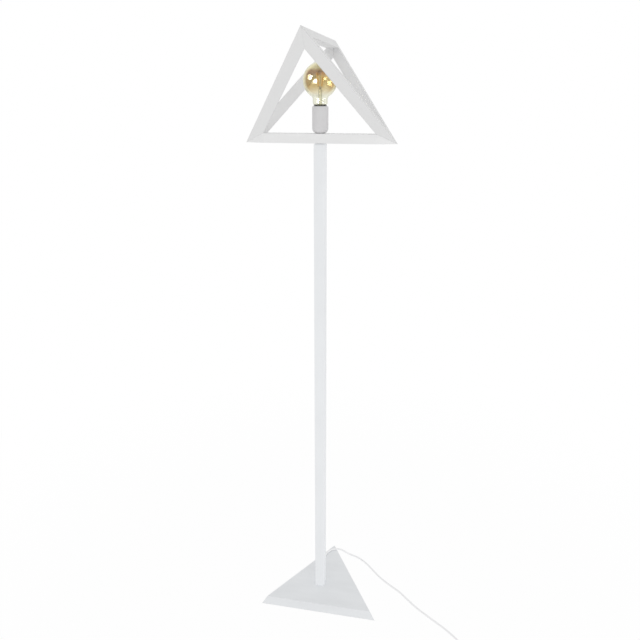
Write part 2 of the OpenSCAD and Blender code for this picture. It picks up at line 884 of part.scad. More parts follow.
spring_low = switch_wall + block_height + spring_wire / 2;
spring_high = switch_height - 2 - spring_wire / 2;
function spring_point(t) = [
    switch_x + spring_radius * cos(360 * t * spring_turns),
    switch_y + spring_radius * sin(360 * t * spring_turns),
    spring_low + (spring_high - spring_low) * t
];

module switch_spring() {
    steps = spring_turns * spring_rings;
    color(steel) swept_tube([for (i = [0 : steps]) spring_point(i / steps)], spring_wire / 2, 6);
}

module switch_screws() {
    color(steel) in_switch() {
        screw_holes(0.5, switch_height - cover_wall - 3, 1.4);
        screw_holes(0.5, 1.5, 1.6);
    }
}

base_felt();
ballast_disc();
base_block();
post_bolt();
foot_insert();
post();
post_dowels();
cord_grommet();
inner_cable();
top_insert();
threaded_tube();
cup_nut();
cup_washer();
bottom_bar();
front_left_bar();
front_right_bar();
rear_left_bar();
rear_right_bar();
top_bar();
frame_dowels();
socket_cup();
socket_body();
screw_shell();
centre_contact();
terminal_screws();
bulb_cap();
bulb_insulator();
bulb_contact();
bulb_glass();
bulb_stem();
bulb_filaments();
bulb_wires();
cord_lamp();
cord_lead();
cord_coil();
cord_tail();
plug_body();
plug_pins();
switch_base();
switch_cover();
switch_button();
switch_spring();
switch_block();
switch_screws();
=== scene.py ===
"""Looks of a wooden floor lamp: camera, cord, bulb, finishes and light.

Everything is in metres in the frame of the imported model: the origin is on the floor under the post,
+X runs along the frame's bottom bar, -Y is the front and +Z is up.
"""

import math

import bpy
import numpy as np
from mathutils import Matrix, Vector


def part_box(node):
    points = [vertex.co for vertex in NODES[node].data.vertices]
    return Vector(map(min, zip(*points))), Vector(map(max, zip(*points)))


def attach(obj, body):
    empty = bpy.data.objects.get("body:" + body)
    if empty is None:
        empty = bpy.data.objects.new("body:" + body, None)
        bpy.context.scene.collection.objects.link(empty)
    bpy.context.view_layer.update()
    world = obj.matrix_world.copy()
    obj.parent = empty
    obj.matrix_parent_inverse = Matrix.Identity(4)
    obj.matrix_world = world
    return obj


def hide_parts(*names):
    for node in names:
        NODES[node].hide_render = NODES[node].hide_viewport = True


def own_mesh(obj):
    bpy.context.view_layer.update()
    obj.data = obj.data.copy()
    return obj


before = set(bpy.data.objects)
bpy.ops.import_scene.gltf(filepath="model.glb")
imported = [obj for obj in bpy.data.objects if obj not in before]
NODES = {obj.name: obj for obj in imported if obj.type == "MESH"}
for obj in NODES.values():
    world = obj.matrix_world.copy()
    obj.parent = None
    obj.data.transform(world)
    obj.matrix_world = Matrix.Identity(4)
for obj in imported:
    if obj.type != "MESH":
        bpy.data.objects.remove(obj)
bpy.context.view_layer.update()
MM = 0.001

# Camera, from the edges of the lamp in the photograph: angles in degrees, sensor and lens in millimetres
CAMERA_AZIMUTH = 11.806
CAMERA_PITCH = 18.9875
CAMERA_ROLL = -0.0418
CAMERA_DISTANCE = 1.8671
CAMERA_HEIGHT = 1.6552
CAMERA_SHIFT = -0.00066
SENSOR_WIDTH = 36.0
LENS = 36.297

# Cord: the distance between its rings, its two twisted cores and the length of one twist
CORD_RADIUS = 0.003
CORD_STEP = 0.0015
CORD_SIDES = 24
CORD_CORES = 2
CORE_TWIST = 0.06
SPLINE_STEPS = 12

# Sleeves that keep the cord from bending at a housing, grooved between two shares of their length
SLEEVE_LENGTH = 0.024
SLEEVE_WALL = 0.0024
SLEEVE_SKIN = 0.00045
SLEEVE_GROOVE = 0.00035
SLEEVE_GROOVES = 6
SLEEVE_GROOVED = (0.12, 0.92)
SLEEVE_FINENESS = 8
SLEEVE_SIDES = 32

# Spring of the foot switch: the heights of its foot and its top
SWITCH_MIDDLE = (0.519, -0.285)
SPRING_WIRE = 0.0008
SPRING_RADIUS = 0.006
SPRING_TURNS = 5
SPRING_RINGS = 48
SPRING_SIDES = 12
SPRING_FOOT = 0.007
SPRING_TOP = 0.018

# Bulb: its globe, the rounded neck below it and the glass foot in the cap
GLOBE_RADIUS = 0.0475
GLOBE_Z = 1.7005
NECK_RADIUS = 0.0205
NECK_Z = 1.6369
NECK_ROUND = 0.006
NECK_FILLET = 0.010
GLASS_WALL = 0.001
GLASS_FOOT_RADIUS = 0.01235
GLASS_FOOT_Z = 1.6125
GLOBE_SIDES = 128
GLOBE_STEPS = 60
FILLET_STEPS = 14
ROUND_STEPS = 10

# Gold of the bulb: the heights between which the tint, the brown ring of painted shade and the pale crown
# set in
TINT_HEIGHTS = (1.655, 1.69)
SHADE_RING_HEIGHTS = (1.71, 1.718)
CROWN_HEIGHTS = (1.723, 1.733)

# Paint, as the darkest and lightest tone of each painted part. All parts wear one white lacquer, and the
# levels between them are painted light and shade: the bottom bar is painted lighter for the light on its
# upright front, the frame bars darker for the shade on their strips that face down, and the foot a little
# darker than the post for the shade on its top. The post and foot are also a cooler white.
FRAME_SHADED_PAINT = ("e7e7e7", "eaeaea")
BOTTOM_BAR_LIT_PAINT = ("f1f1f1", "f4f4f4")
POST_PAINT = ("f1f3f5", "f5f7f9")
FOOT_SHADED_PAINT = ("ebedef", "f1f3f5")

# Room and floor, which fades to full white between two distances from the lamp
ROOM_LIGHT = 0.8
WHITE = (1, 1, 1, 1)
FLOOR_RADIUS = 4.0
FLOOR_SIDES = 96
FLOOR_WHITE = 0.96
FLOOR_FADE = (0.6, 2.0)
FLOOR_PAINT = "f6f6f6"

# Lamps: each stands at an azimuth to the right of the front and at an elevation, in degrees
RIGHT_LAMP = (60, 0)
RIGHT_LIGHT = 15
LEFT_LAMP = (-30, 0)
LEFT_LIGHT = 9
LAMP_MIDDLE = (0, 0, 0.1)
LAMP_DISTANCE = 3.3
LAMP_SIZE = 2.6
LEFT_SOFTBOX = (-52, 14)
FRONT_SOFTBOX = (-19.5, -6)
SOFTBOX_LIGHT = 50
SOFTBOX_DISTANCE = 2.6
SOFTBOX_SIZE = 1.0
BULB_MIDDLE = (0, 0, GLOBE_Z)


def linear(code):
    """Turns a screen colour such as d1d0d2 into the renderer's linear values."""
    channels = [int(code[i:i + 2], 16) / 255 for i in (0, 2, 4)]
    return [c / 12.92 if c <= 0.04045 else ((c + 0.055) / 1.055) ** 2.4 for c in channels] + [1.0]


# Camera


def make_camera():
    """The camera looks at the front from the right, above the lamp's middle."""
    azimuth, pitch, roll = (math.radians(a) for a in (CAMERA_AZIMUTH, CAMERA_PITCH, CAMERA_ROLL))
    back = Vector((math.sin(azimuth), -math.cos(azimuth), 0))
    forward = -back * math.cos(pitch) - Vector((0, 0, math.sin(pitch)))
    right = forward.cross(Vector((0, 0, 1))).normalized()
    up = right.cross(forward)
    turned_right = math.cos(roll) * right + math.sin(roll) * up
    turned_up = math.cos(roll) * up - math.sin(roll) * right
    data = bpy.data.cameras.new("camera")
    data.sensor_width = SENSOR_WIDTH
    data.lens = LENS
    data.shift_x = CAMERA_SHIFT
    camera = bpy.data.objects.new("camera", data)
    bpy.context.scene.collection.objects.link(camera)
    place = Matrix.Translation(back * CAMERA_DISTANCE + Vector((0, 0, CAMERA_HEIGHT)))
    camera.matrix_world = place @ Matrix((turned_right, turned_up, -forward)).transposed().to_4x4()
    bpy.context.scene.camera = camera


# Route of the cord: the same points as in the part's source

LAMP_ROUTE = [
    (0, 0.018, 0.055), (0, 0.032, 0.055), (-0.0015, 0.046, 0.052), (-0.004, 0.06, 0.045),
    (-0.0065, 0.075, 0.037), (-0.009, 0.091, 0.0319), (-0.011, 0.11, 0.0303), (-0.0115, 0.132, 0.0303),
    (-0.008, 0.153, 0.0303), (0.002, 0.17, 0.0303), (0.016, 0.18, 0.0303), (0.031, 0.1855, 0.0296),
    (0.044, 0.1886, 0.0248), (0.056, 0.191, 0.0164), (0.069, 0.1926, 0.0084), (0.085, 0.1918, 0.004),
    (0.104, 0.186, 0.003), (0.125, 0.173, 0.003), (0.15, 0.1505, 0.003), (0.176, 0.1215, 0.003),
    (0.205, 0.091, 0.003), (0.24, 0.0625, 0.003), (0.276, 0.036, 0.003), (0.308, 0.004, 0.003),
    (0.345, -0.031, 0.003), (0.392, -0.0675, 0.003), (0.44, -0.104, 0.003), (0.482, -0.145, 0.003),
    (0.507, -0.186, 0.003), (0.517, -0.214, 0.0038), (0.519, -0.232, 0.0058), (0.519, -0.245, 0.006),
]
LEAD_ROUTE = [
    (0.519, -0.325, 0.006), (0.519, -0.338, 0.006), (0.519, -0.358, 0.0033), (0.519, -0.377, 0.003),
]
TAIL_ROUTE = [
    (0.431, -0.377, 0.01), (0.431, -0.352, 0.0096), (0.431, -0.318, 0.007), (0.431, -0.29, 0.007),
]
COIL_CENTRE = (0.475, -0.385)
COIL_RADIUS = 0.044
COIL_STEP = 0.008
COIL_TURNS = 2.5
COIL_CLIMB = 0.5
COIL_RINGS = 24
COIL_LIFT = 0.007


def coil_route():
    """Flat spiral inwards on the floor, half a turn that climbs a layer, and outwards on top.

    The radius shrinks by the step each turn, r = R - step * t, and grows back in the same way. The climb c
    from 0 to 1 lifts the cord by c * c * (3 - 2 * c) of a layer.
    """
    turns = np.arange(int((2 * COIL_TURNS + COIL_CLIMB) * COIL_RINGS) + 1) / COIL_RINGS
    inner = COIL_RADIUS - COIL_STEP * COIL_TURNS
    inwards = np.minimum(turns, COIL_TURNS)
    outwards = np.maximum(turns - COIL_TURNS - COIL_CLIMB, 0)
    reach = inner + COIL_STEP * (COIL_TURNS - inwards + outwards)
    climb = np.clip((turns - COIL_TURNS) / COIL_CLIMB, 0, 1)
    level = CORD_RADIUS + COIL_LIFT * climb * climb * (3 - 2 * climb)
    angle = 2 * math.pi * turns
    return np.stack([
        COIL_CENTRE[0] + reach * np.cos(angle), COIL_CENTRE[1] - reach * np.sin(angle), level,
    ], axis=1)


def smooth_line(route):
    """A Catmull-Rom curve through every point of the route, at an even step and never into the floor.

    From b to c, with a before and d after them, it stands at half of
    2b + (c - a) t + (2a - 5b + 4c - d) t^2 + (3b - a - 3c + d) t^3.
    """
    points = np.asarray(route, float)
    padded = np.vstack([2 * points[0] - points[1], points, 2 * points[-1] - points[-2]])
    t = np.linspace(0, 1, SPLINE_STEPS, endpoint=False)[:, None, None]
    a, b, c, d = (padded[i:len(padded) - 3 + i] for i in range(4))
    square = 2 * a - 5 * b + 4 * c - d
    cube = 3 * b - a - 3 * c + d
    curve = 0.5 * (2 * b + (c - a) * t + square * t ** 2 + cube * t ** 3)
    curve = np.vstack([curve.transpose(1, 0, 2).reshape(-1, 3), points[-1]])
    curve[:, 2] = np.maximum(curve[:, 2], CORD_RADIUS)
    along = np.concatenate([[0], np.cumsum(np.linalg.norm(np.diff(curve, axis=0), axis=1))])
    even = np.linspace(0, along[-1], int(along[-1] / CORD_STEP) + 1)
    return np.stack([np.interp(even, along, curve[:, i]) for i in range(3)], axis=1)


# Meshes


def add_piece(name, data, body):
    """A smooth piece at the origin that rides on a body."""
    data.polygons.foreach_set("use_smooth", [True] * len(data.polygons))
    piece = bpy.data.objects.new(name, data)
    bpy.context.scene.collection.objects.link(piece)
    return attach(piece, body)


def lathe(name, outline, segments, body):
    """A closed form turned round the Z axis.

    The outline is a row of (radius, height) that starts and ends on the axis. Its point (r, z) at step k
    stands at (r cos a, r sin a, z) with a = 2 pi k / segments.
    """
    angle = np.arange(segments) * 2 * math.pi / segments
    ring = np.stack([np.cos(angle), np.sin(angle)], axis=1)
    flat = outline[1:-1, None, :1] * ring[None]
    height = np.broadcast_to(outline[1:-1, None, 1:], flat.shape[:2] + (1,))
    points = np.concatenate([flat, height], axis=2).reshape(-1, 3)
    points = np.vstack([points, [0, 0, outline[0, 1]], [0, 0, outline[-1, 1]]])
    rows = np.arange((len(outline) - 2) * segments).reshape(-1, segments)
    after = np.roll(rows, -1, axis=1)
    sides = np.stack([rows[:-1], after[:-1], after[1:], rows[1:]], axis=2).reshape(-1, 4)
    first = np.full(segments, len(points) - 2)
    last = np.full(segments, len(points) - 1)
    start_fan = np.stack([rows[0], after[0], first], axis=1)
    end_fan = np.stack([after[-1], rows[-1], last], axis=1)
    data = bpy.data.meshes.new(name)
    data.from_pydata(points.tolist(), [], sides.tolist() + start_fan.tolist() + end_fan.tolist())
    return add_piece(name, data, body)


def arc(centre, radius, start, end, steps):
    """Points of a circle's arc between two angles in degrees."""
    angle = np.radians(np.linspace(start, end, steps))
    return np.stack([centre[0] + radius * np.cos(angle), centre[1] + radius * np.sin(angle)], axis=1)


def tube(name, line, radius, sides, body):
    """A closed tube along a line, with flat ends.

    Ring i stands at the line's point i, square to its travel, with corner k at the angle 2 pi k / sides and
    at the distance radius[i]. The UV map holds the turn round the tube and the distance along it in metres.
    """
    travel = np.gradient(line, axis=0)
    travel /= np.linalg.norm(travel, axis=1, keepdims=True)
    # The nudge gives a ring its side where the line goes straight up
    nudge = (1e-9, 0, 0)
    across = np.cross(travel, (0, 0, 1)) + nudge
    across /= np.linalg.norm(across, axis=1, keepdims=True)
    up = np.cross(across, travel)
    angle = np.arange(sides) * 2 * math.pi / sides
    spoke = across[:, None] * np.cos(angle)[None, :, None] + up[:, None] * np.sin(angle)[None, :, None]
    points = (line[:, None] + spoke * radius[:, None, None]).reshape(-1, 3)
    rows = np.arange(len(line) * sides).reshape(-1, sides)
    after = np.roll(rows, -1, axis=1)
    walls = np.stack([rows[:-1], rows[1:], after[1:], after[:-1]], axis=2).reshape(-1, 4)
    ends = [rows[0].tolist(), rows[-1][::-1].tolist()]
    along = np.concatenate([[0], np.cumsum(np.linalg.norm(np.diff(line, axis=0), axis=1))])
    step, turn = np.meshgrid(np.arange(len(line) - 1), np.arange(sides), indexing="ij")
    turns = np.concatenate([
        (np.stack([turn, turn, turn + 1, turn + 1], axis=2) / sides).ravel(),
        np.zeros(2 * sides),
    ])
    reaches = np.concatenate([
        along[np.stack([step, step + 1, step + 1, step], axis=2)].ravel(),
        np.repeat([along[0], along[-1]], sides),
    ])
    data = bpy.data.meshes.new(name)
    data.from_pydata(points.tolist(), [], walls.tolist() + ends)
    layer = data.uv_layers.new(name="run")
    layer.data.foreach_set("uv", np.stack([turns, reaches], axis=1).ravel())
    return add_piece(name, data, body)


# Cord, its sleeves and the spring of its foot switch


def make_cord(name, line):
    """A round cord of even thickness along its line."""
    return tube(name, line, np.full(len(line), CORD_RADIUS), CORD_SIDES, "lamp")


def make_sleeve(name, line):
    """A strain relief that tapers along the cord, with grooves round it that let it bend.

    Its radius falls evenly from the housing to the tip, less the upper half of a cosine for each groove.
    """
    coarse = line[:int(SLEEVE_LENGTH / CORD_STEP) + 1]
    fine = np.linspace(0, len(coarse) - 1, SLEEVE_FINENESS * len(coarse))
    part = np.stack([np.interp(fine, np.arange(len(coarse)), coarse[:, i]) for i in range(3)], axis=1)
    share = np.linspace(0, 1, len(part))
    wave = np.clip(np.cos(share * 2 * math.pi * SLEEVE_GROOVES), 0, 1)
    groove = SLEEVE_GROOVE * wave * (share > SLEEVE_GROOVED[0]) * (share < SLEEVE_GROOVED[1])
    radius = CORD_RADIUS + SLEEVE_SKIN + SLEEVE_WALL * (1 - share) - groove
    return tube(name, part, radius, SLEEVE_SIDES, "lamp")


def make_spring():
    """The coil spring under the switch's button, which shortens as the button goes down.

    The wire runs at an even radius, at the angle 2 pi times the turn, and rises evenly from foot to top.
    """
    share = np.linspace(0, 1, SPRING_TURNS * SPRING_RINGS + 1)
    angle = 2 * math.pi * SPRING_TURNS * share
    line = np.stack([
        SWITCH_MIDDLE[0] + SPRING_RADIUS * np.cos(angle),
        SWITCH_MIDDLE[1] + SPRING_RADIUS * np.sin(angle),
        SPRING_FOOT + SPRING_WIRE / 2 + (SPRING_TOP - SPRING_FOOT - SPRING_WIRE) * share,
    ], axis=1)
    wire = np.full(len(line), SPRING_WIRE / 2)
    spring = tube("button_spring", line, wire, SPRING_SIDES, "lamp")
    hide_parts("switch_spring")
    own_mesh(spring)
    return spring


def make_cords():
    """The cord over the floor to the switch, and on through its coil to the plug, with what it carries."""
    lamp_line = smooth_line(LAMP_ROUTE)
    plug_line = smooth_line(np.vstack([LEAD_ROUTE, coil_route(), TAIL_ROUTE]))
    floor_cord = make_cord("floor_cord", lamp_line)
    plug_cord = make_cord("plug_cord", plug_line)
    outlet_sleeve = make_sleeve("outlet_sleeve", lamp_line)
    switch_sleeve = make_sleeve("switch_sleeve", lamp_line[::-1])
    lead_sleeve = make_sleeve("lead_sleeve", plug_line)
    plug_sleeve = make_sleeve("plug_sleeve", plug_line[::-1])
    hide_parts("cord_lamp")
    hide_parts("cord_lead", "cord_coil", "cord_tail")
    switch_parts = ("switch_base", "switch_cover", "switch_button", "switch_block", "switch_screws")
    switch = [NODES[name] for name in switch_parts]
    switch.append(make_spring())


# Bulb


def glass_side(wall):
    """Outline of the globe's outside, or of its inside when the wall is taken off, from the top down.

    It is an arc of the globe, a fillet that touches it and the neck, and the rounded foot of the neck.
    """
    globe = GLOBE_RADIUS - wall
    neck = NECK_RADIUS - wall
    fillet = NECK_FILLET + wall
    fillet_z = GLOBE_Z - math.sqrt((globe + fillet) ** 2 - (neck + fillet) ** 2)
    touch = math.degrees(math.atan2(fillet_z - GLOBE_Z, neck + fillet))
    return np.vstack([
        arc((0, GLOBE_Z), globe, 90, touch, GLOBE_STEPS),
        arc((neck + fillet, fillet_z), fillet, touch + 180, 180, FILLET_STEPS)[1:],
        arc((NECK_RADIUS - NECK_ROUND, NECK_Z + NECK_ROUND), NECK_ROUND - wall, 0, -90, ROUND_STEPS),
    ])


def make_globe():
    """The bulb's glass as one closed shell: down the inside, round the foot and up the outside."""
    foot = [
        (GLASS_FOOT_RADIUS - GLASS_WALL, NECK_Z + GLASS_WALL),
        (GLASS_FOOT_RADIUS - GLASS_WALL, GLASS_FOOT_Z),
        (GLASS_FOOT_RADIUS, GLASS_FOOT_Z),
        (GLASS_FOOT_RADIUS, NECK_Z),
    ]
    outline = np.vstack([glass_side(GLASS_WALL), foot, glass_side(0)[::-1]])
    outline[0, 0] = outline[-1, 0] = 0
    globe = lathe("bulb_globe", outline, GLOBE_SIDES, "bulb")
    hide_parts("bulb_glass")
    # Thin glass hardly shades or tints what stands round it
    globe.visible_diffuse = False
    globe.visible_glossy = False
    globe.visible_shadow = False
    return globe


# Finishes

# Settings that many nodes share: a mapping whose scale is the pattern's real size, a range that starts and
# ends softly, and a mix of two colours
REAL_SIZE = {"vector_type": "TEXTURE"}
SOFT_ENDS = {"interpolation_type": "SMOOTHSTEP"}
OF_COLOURS = {"data_type": "RGBA"}

# Most of a noise pattern lies in the middle of its range, which becomes the whole share
NOISE_SPAN = {"From Min": 0.3, "From Max": 0.7}

# Sockets that only their number tells apart, on a mix of colours and on a mix of shaders
SHARE = 0
COLOUR_A = 6
COLOUR_B = 7
MIXED = 2
SHADER_A = 1
SHADER_B = 2


def add_node(tree, kind, settings=None, inputs=None):
    """Adds a shader node, sets its settings, and sets or links its inputs by name or number."""
    node = tree.nodes.new("ShaderNode" + kind)
    for key, value in (settings or {}).items():
        setattr(node, key, value)
    for key, value in (inputs or {}).items():
        if isinstance(value, bpy.types.NodeSocket):
            tree.links.new(value, node.inputs[key])
        else:
            node.inputs[key].default_value = value
    return node


def new_finish(name):
    """An empty material with its tree."""
    material = bpy.data.materials.new(name)
    material.use_nodes = True
    material.node_tree.nodes.clear()
    return material, material.node_tree


# Planed beech under satin white lacquer: an even off-white with a soft shine. The grain comes through only
# as a faint ripple along the piece, the sprayed skin has a very fine orange peel, and the edges are rubbed
# round.
def painted_wood(name, along, tones):
    material, tree = new_finish(name)
    place = add_node(tree, "TexCoord").outputs["Object"]
    turn = Vector((0, 0, 1)).rotation_difference(Vector(along)).to_euler()
    # Bands of beech pores lie about 2.6 mm apart and run on for 90 mm
    grain_place = add_node(tree, "Mapping", REAL_SIZE, {
        "Vector": place, "Rotation": turn, "Scale": (2.6 * MM, 2.6 * MM, 90 * MM),
    }).outputs["Vector"]
    grain = add_node(tree, "TexNoise", None, {
        "Vector": grain_place, "Scale": 1.0, "Detail": 3.0,
    }).outputs["Fac"]
    # Coats of paint vary over a hand's width
    coat_place = add_node(tree, "Mapping", REAL_SIZE, {
        "Vector": place, "Rotation": turn, "Scale": (45 * MM, 45 * MM, 160 * MM),
    }).outputs["Vector"]
    coat = add_node(tree, "TexNoise", None, {
        "Vector": coat_place, "Scale": 1.0, "Detail": 2.0,
    }).outputs["Fac"]
    coat_share = add_node(tree, "MapRange", None, {"Value": coat, **NOISE_SPAN}).outputs["Result"]
    # Orange peel of a spray gun, about 1 mm across
    peel_place = add_node(tree, "Mapping", REAL_SIZE, {
        "Vector": place, "Rotation": turn, "Scale": (0.9 * MM, 0.9 * MM, 1.6 * MM),
    }).outputs["Vector"]
    peel = add_node(tree, "TexNoise", None, {
        "Vector": peel_place, "Scale": 1.0, "Detail": 1.0,
    }).outputs["Fac"]
    rubbed = add_node(tree, "Bevel", {"samples": 6}, {"Radius": 1.1 * MM}).outputs["Normal"]
    peeled = add_node(tree, "Bump", None, {
        "Height": peel, "Strength": 0.12, "Distance": 0.05 * MM, "Normal": rubbed,
    }).outputs["Normal"]
    rippled = add_node(tree, "Bump", None, {
        "Height": grain, "Strength": 0.25, "Distance": 0.12 * MM, "Normal": peeled,
    }).outputs["Normal"]
    colour = add_node(tree, "Mix", OF_COLOURS, {
        SHARE: coat_share, COLOUR_A: linear(tones[0]), COLOUR_B: linear(tones[1]),
    }).outputs[MIXED]
    roughness = add_node(tree, "MapRange", None, {
        "Value": grain, **NOISE_SPAN, "To Min": 0.5, "To Max": 0.6,
    }).outputs["Result"]
    paint = add_node(tree, "BsdfPrincipled", None, {
        "Base Color": colour, "Roughness": roughness, "Normal": rippled, "Specular IOR Level": 0.3,
    })
    add_node(tree, "OutputMaterial", None, {"Surface": paint.outputs["BSDF"]})
    return material


# Turned beech dowels, left bare: pale tan with short dark flecks along the length.
def bare_beech():
    material, tree = new_finish("bare_beech")
    place = add_node(tree, "TexCoord").outputs["Object"]
    # Flecks of beech are under 1 mm wide and about 6 mm long
    fleck_place = add_node(tree, "Mapping", REAL_SIZE, {
        "Vector": place, "Scale": (0.8 * MM, 0.8 * MM, 6 * MM),
    }).outputs["Vector"]
    fleck = add_node(tree, "TexNoise", None, {
        "Vector": fleck_place, "Scale": 1.0, "Detail": 3.0, "Roughness": 0.6,
    }).outputs["Fac"]
    share = add_node(tree, "MapRange", None, {"Value": fleck, **NOISE_SPAN}).outputs["Result"]
    colour = add_node(tree, "Mix", OF_COLOURS, {
        SHARE: share, COLOUR_A: linear("c79c6b"), COLOUR_B: linear("dcb989"),
    }).outputs[MIXED]
    fibres = add_node(tree, "Bump", None, {
        "Height": fleck, "Strength": 0.3, "Distance": 0.1 * MM,
    }).outputs["Normal"]
    wood = add_node(tree, "BsdfPrincipled", None, {
        "Base Color": colour, "Roughness": 0.6, "Normal": fibres,
    })
    add_node(tree, "OutputMaterial", None, {"Surface": wood.outputs["BSDF"]})
    return material


# Pressed wool felt: charcoal clumps of fibre with a light fuzz.
def charcoal_felt():
    material, tree = new_finish("charcoal_felt")
    place = add_node(tree, "TexCoord").outputs["Object"]
    # Clumps of fibre are about 0.6 mm across
    clump_place = add_node(tree, "Mapping", REAL_SIZE, {
        "Vector": place, "Scale": (0.6 * MM, 0.6 * MM, 0.6 * MM),
    }).outputs["Vector"]
    clump = add_node(tree, "TexNoise", None, {
        "Vector": clump_place, "Scale": 1.0, "Detail": 4.0, "Roughness": 0.7,
    }).outputs["Fac"]
    share = add_node(tree, "MapRange", None, {"Value": clump, **NOISE_SPAN}).outputs["Result"]
    colour = add_node(tree, "Mix", OF_COLOURS, {
        SHARE: share, COLOUR_A: linear("36363a"), COLOUR_B: linear("55555a"),
    }).outputs[MIXED]
    matted = add_node(tree, "Bump", None, {
        "Height": clump, "Strength": 0.8, "Distance": 0.4 * MM,
    }).outputs["Normal"]
    wool = add_node(tree, "BsdfPrincipled", None, {
        "Base Color": colour, "Roughness": 0.95, "Sheen Weight": 0.4, "Normal": matted,
    })
    add_node(tree, "OutputMaterial", None, {"Surface": wool.outputs["BSDF"]})
    return material


# Turned metal, such as zinc-plated steel, brass or nickelled aluminium: fine tool marks round the piece and
# a shine that is a little uneven from handling.
def turned_metal(name, tones, shine):
    material, tree = new_finish(name)
    place = add_node(tree, "TexCoord").outputs["Object"]
    # Patches of tarnish are about 7 mm across
    patch_place = add_node(tree, "Mapping", REAL_SIZE, {
        "Vector": place, "Scale": (7 * MM, 7 * MM, 4 * MM),
    }).outputs["Vector"]
    patch = add_node(tree, "TexNoise", None, {
        "Vector": patch_place, "Scale": 1.0, "Detail": 3.0, "Roughness": 0.6,
    }).outputs["Fac"]
    # Tool marks go round, a third of a millimetre apart
    mark_place = add_node(tree, "Mapping", REAL_SIZE, {
        "Vector": place, "Scale": (30 * MM, 30 * MM, 0.35 * MM),
    }).outputs["Vector"]
    mark = add_node(tree, "TexNoise", None, {
        "Vector": mark_place, "Scale": 1.0, "Detail": 2.0,
    }).outputs["Fac"]
    share = add_node(tree, "MapRange", None, {"Value": patch, **NOISE_SPAN}).outputs["Result"]
    colour = add_node(tree, "Mix", OF_COLOURS, {
        SHARE: share, COLOUR_A: linear(tones[0]), COLOUR_B: linear(tones[1]),
    }).outputs[MIXED]
    roughness = add_node(tree, "MapRange", None, {
        "Value": patch, **NOISE_SPAN, "To Min": shine[0], "To Max": shine[1],
    }).outputs["Result"]
    turned = add_node(tree, "Bump", None, {
        "Height": mark, "Strength": 0.2, "Distance": 0.03 * MM,
    }).outputs["Normal"]
    metal = add_node(tree, "BsdfPrincipled", None, {
        "Base Color": colour, "Metallic": 1.0, "Roughness": roughness, "Normal": turned,
    })
    add_node(tree, "OutputMaterial", None, {"Surface": metal.outputs["BSDF"]})
    return material


# Injection-moulded plastic: an even colour, a fine spark-eroded texture and slight clouds in the shine.
def moulded_plastic(name, tones, roughness, texture_depth):
    material, tree = new_finish(name)
    place = add_node(tree, "TexCoord").outputs["Object"]
    # Flow clouds are about 25 mm across
    flow_place = add_node(tree, "Mapping", REAL_SIZE, {
        "Vector": place, "Scale": (25 * MM, 25 * MM, 25 * MM),
    }).outputs["Vector"]
    flow = add_node(tree, "TexNoise", None, {
        "Vector": flow_place, "Scale": 1.0, "Detail": 2.0,
    }).outputs["Fac"]
    # Spark erosion leaves pits under 0.2 mm; they are drawn at 0.7 mm so that they show
    pit_place = add_node(tree, "Mapping", REAL_SIZE, {
        "Vector": place, "Scale": (0.7 * MM, 0.7 * MM, 0.7 * MM),
    }).outputs["Vector"]
    pit = add_node(tree, "TexNoise", None, {
        "Vector": pit_place, "Scale": 1.0, "Detail": 1.0,
    }).outputs["Fac"]
    share = add_node(tree, "MapRange", None, {"Value": flow, **NOISE_SPAN}).outputs["Result"]
    colour = add_node(tree, "Mix", OF_COLOURS, {
        SHARE: share, COLOUR_A: linear(tones[0]), COLOUR_B: linear(tones[1]),
    }).outputs[MIXED]
    shine = add_node(tree, "MapRange", None, {
        "Value": flow, **NOISE_SPAN, "To Min": roughness - 0.05, "To Max": roughness + 0.05,
    }).outputs["Result"]
    softened = add_node(tree, "Bevel", {"samples": 4}, {"Radius": 0.5 * MM}).outputs["Normal"]
    pitted = add_node(tree, "Bump", None, {
        "Height": pit, "Strength": 0.4, "Distance": texture_depth, "Normal": softened,
    }).outputs["Normal"]
    shell = add_node(tree, "BsdfPrincipled", None, {
        "Base Color": colour, "Roughness": shine, "Normal": pitted,
    })
    add_node(tree, "OutputMaterial", None, {"Surface": shell.outputs["BSDF"]})
    return material


# Pale grey powder coat, baked on spun metal: a fine orange peel and a soft, slightly cloudy shine.
def powder_coat():
    material, tree = new_finish("grey_powder_coat")
    place = add_node(tree, "TexCoord").outputs["Object"]
    # Orange peel of baked powder, about 1 mm across
    peel_place = add_node(tree, "Mapping", REAL_SIZE, {
        "Vector": place, "Scale": (1.1 * MM, 1.1 * MM, 1.1 * MM),
    }).outputs["Vector"]
    peel = add_node(tree, "TexNoise", None, {
        "Vector": peel_place, "Scale": 1.0, "Detail": 1.0,
    }).outputs["Fac"]
    # The powder lies a little thicker in clouds of about 30 mm
    cloud_place = add_node(tree, "Mapping", REAL_SIZE, {
        "Vector": place, "Scale": (30 * MM, 30 * MM, 30 * MM),
    }).outputs["Vector"]
    cloud = add_node(tree, "TexNoise", None, {
        "Vector": cloud_place, "Scale": 1.0, "Detail": 2.0,
    }).outputs["Fac"]
    share = add_node(tree, "MapRange", None, {"Value": cloud, **NOISE_SPAN}).outputs["Result"]
    colour = add_node(tree, "Mix", OF_COLOURS, {
        SHARE: share, COLOUR_A: linear("d9d8d9"), COLOUR_B: linear("dddcdd"),
    }).outputs[MIXED]
    roughness = add_node(tree, "MapRange", None, {
        "Value": peel, **NOISE_SPAN, "To Min": 0.5, "To Max": 0.6,
    }).outputs["Result"]
    peeled = add_node(tree, "Bump", None, {
        "Height": peel, "Strength": 0.25, "Distance": 0.06 * MM,
    }).outputs["Normal"]
    coat = add_node(tree, "BsdfPrincipled", None, {
        "Base Color": colour, "Roughness": roughness, "Normal": peeled, "Specular IOR Level": 0.4,
    })
    add_node(tree, "OutputMaterial", None, {"Surface": coat.outputs["BSDF"]})
    return material
